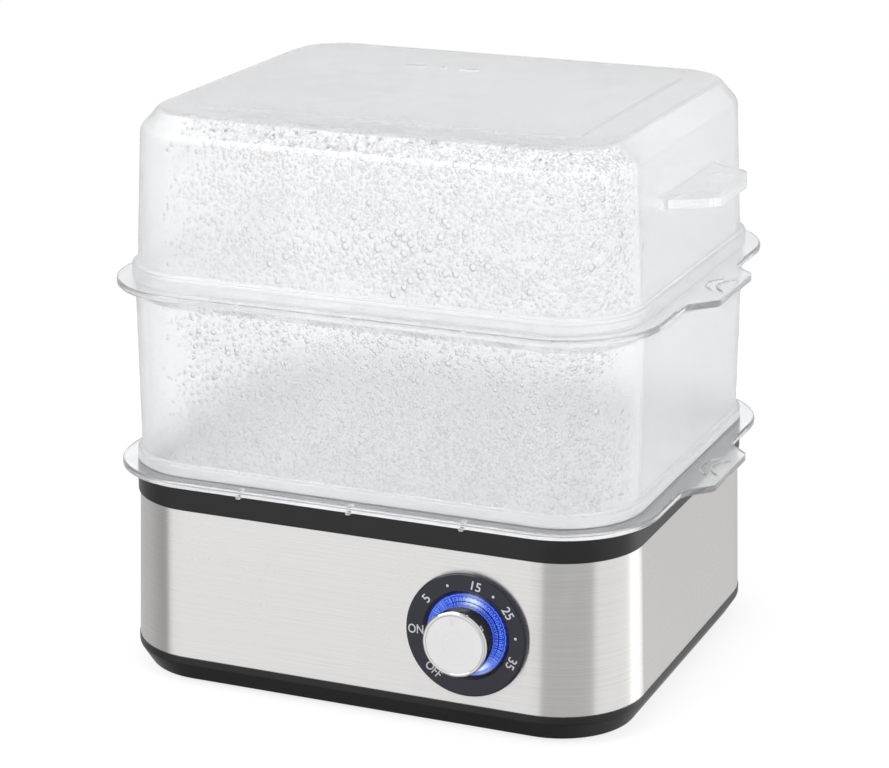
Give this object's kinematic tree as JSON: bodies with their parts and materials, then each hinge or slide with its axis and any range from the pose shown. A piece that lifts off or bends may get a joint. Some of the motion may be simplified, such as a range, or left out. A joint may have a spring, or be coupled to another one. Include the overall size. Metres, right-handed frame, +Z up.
{
  "type": "electric egg cooker",
  "caption": "Two-tier electric egg cooker and steamer with a steel-clad heated base, front timer dial, slotted lift-off trays, clear container and clear lid.",
  "frame": {"origin": "on the floor, under the centre of the whole part's box", "axes": "+Z up, -Y out of the front with the timer dial, +X to the right of someone facing the front"},
  "size_m": [0.2724, 0.2289, 0.2578],
  "materials": {
    "rubber": "matt black rubber",
    "black_plastic": "satin black polypropylene",
    "brushed_steel": "stainless steel brushed along the sides",
    "zinc_steel": "zinc-plated steel",
    "silicone": "grey silicone",
    "pan_metal": "cast aluminium, lightly polished",
    "heater_metal": "heat-tinted steel tube",
    "terminal_metal": "tinned brass",
    "dark_plastic": "black phenolic",
    "fuse_body": "tinned case",
    "timer_plastic": "off-white nylon",
    "board": "green board",
    "led": "clear resin",
    "light_guide": "clear acrylic lit blue",
    "dial_black": "gloss black with pale grey marks",
    "knob_chrome": "polished chrome plating",
    "knob_silver": "matt silver disc",
    "clear_plastic": "clear plastic, slightly hazy",
    "dial_print": "pale grey print on the dial plate"
  },
  "bodies": {
    "base": {"rubber_feet": "rubber", "base_shell": "black_plastic", "base_screws": "zinc_steel", "steel_sleeve": "brushed_steel", "rear_panel": "brushed_steel", "top_ring": "black_plastic", "pan_gasket": "silicone", "heating_pan": "pan_metal", "heat_plate": "pan_metal", "plate_nuts": "zinc_steel", "heater_ring": "heater_metal", "heater_terminals": "terminal_metal", "thermostat": "dark_plastic", "thermostat_screws": "zinc_steel", "thermal_fuse": "fuse_body", "fuse_clip": "zinc_steel", "control_bracket": "zinc_steel", "bracket_screws": "zinc_steel", "timer_body": "timer_plastic", "timer_screws": "zinc_steel", "led_board": "board", "led_chips": "led", "light_ring": "light_guide", "dial_plate": "dial_black", "terminal_block": "timer_plastic", "terminal_screws": "terminal_metal", "cord_gland": "rubber"},
    "knob": {"timer_knob": "knob_chrome", "knob_face": "knob_silver", "timer_shaft": "zinc_steel"},
    "lower_tray": {"lower_tray": "clear_plastic"},
    "container": {"steam_container": "clear_plastic"},
    "upper_tray": {"upper_tray": "clear_plastic"},
    "lid": {"lid": "clear_plastic"}
  },
  "joints": [
    {"name": "timer_turn", "type": "hinge", "parent": "base", "child": "knob", "pos_m": [0.0533, -0.09883, 0.0462], "axis": [0, -0.9995, 0.0306], "range_deg": [-131, 131.6]},
    {"name": "lower_tray_lift", "type": "slide", "parent": "base", "child": "lower_tray", "axis": [0, 0, 1], "range_m": [0, 0.12]},
    {"name": "container_lift", "type": "slide", "parent": "lower_tray", "child": "container", "axis": [0, 0, 1], "range_m": [0, 0.12]},
    {"name": "upper_tray_lift", "type": "slide", "parent": "container", "child": "upper_tray", "axis": [0, 0, 1], "range_m": [0, 0.12]},
    {"name": "lid_lift", "type": "slide", "parent": "upper_tray", "child": "lid", "axis": [0, 0, 1], "range_m": [0, 0.12]}
  ]
}
